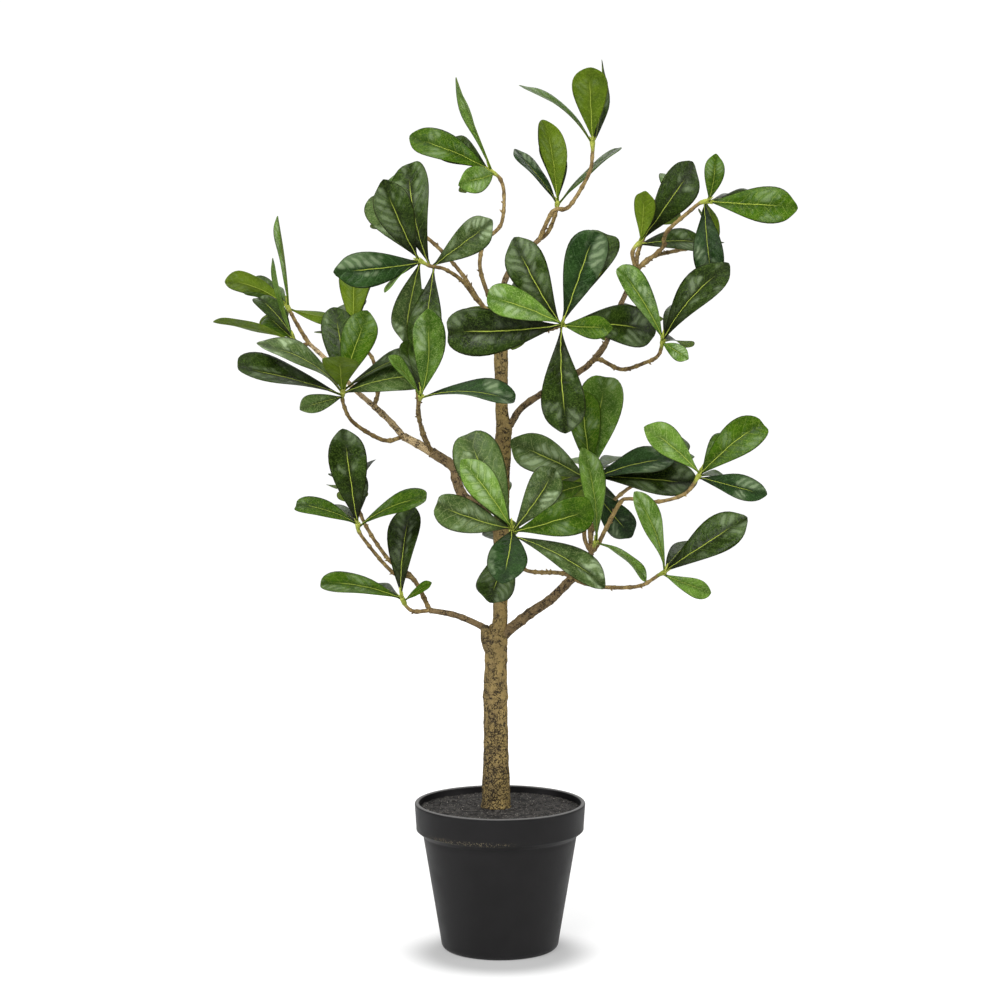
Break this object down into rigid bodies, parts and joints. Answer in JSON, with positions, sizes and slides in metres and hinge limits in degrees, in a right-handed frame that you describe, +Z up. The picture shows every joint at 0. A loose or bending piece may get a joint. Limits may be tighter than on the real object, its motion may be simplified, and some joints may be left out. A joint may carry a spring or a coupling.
{
  "type": "artificial potted umbrella tree",
  "caption": "Artificial umbrella tree: a textured trunk with bent boughs and whorls of glossy obovate leaves, set in dark filling in a black plastic nursery pot with a banded rim",
  "frame": {"origin": "centre of the pot's flat underside", "axes": "+Z up along the trunk, -Y towards the front of the plant, +X to its right as seen from the front"},
  "size_m": [0.5734, 0.4158, 0.8878],
  "materials": {
    "pot": "satin moulded",
    "fill": "coarse dark grit",
    "bark": "moulded brown bark",
    "foliage": "glossy printed leaves"
  },
  "bodies": {
    "root": {"bough_left_high": "bark", "bough_left_low": "bark", "bough_left_mid": "bark", "bough_left_tip": "bark", "bough_lower_left": "bark", "bough_lower_right_high": "bark", "bough_lower_right_low": "bark", "bough_right_high": "bark", "bough_right_low": "bark", "bough_top": "bark", "fill": "fill", "pot": "pot", "spray_back_centre": "foliage", "spray_back_crown_right": "foliage", "spray_back_far_right": "foliage", "spray_back_left": "foliage", "spray_back_low": "foliage", "spray_back_lower_left": "foliage", "spray_back_lower_right": "foliage", "spray_back_middle_right": "foliage", "spray_back_right": "foliage", "spray_back_upper_left": "foliage", "spray_centre": "foliage", "spray_crown_left": "foliage", "spray_crown_middle": "foliage", "spray_crown_right": "foliage", "spray_far_left": "foliage", "spray_far_left_high": "foliage", "spray_far_right": "foliage", "spray_front": "foliage", "spray_left": "foliage", "spray_left_back": "foliage", "spray_left_front": "foliage", "spray_lower_left": "foliage", "spray_lower_left_high": "foliage", "spray_lower_right": "foliage", "spray_middle_right": "foliage", "spray_right": "foliage", "spray_right_middle": "foliage", "spray_right_young": "foliage", "spray_upper_left": "foliage", "spray_upper_right": "foliage", "trunk": "bark"}
  },
  "joints": []
}
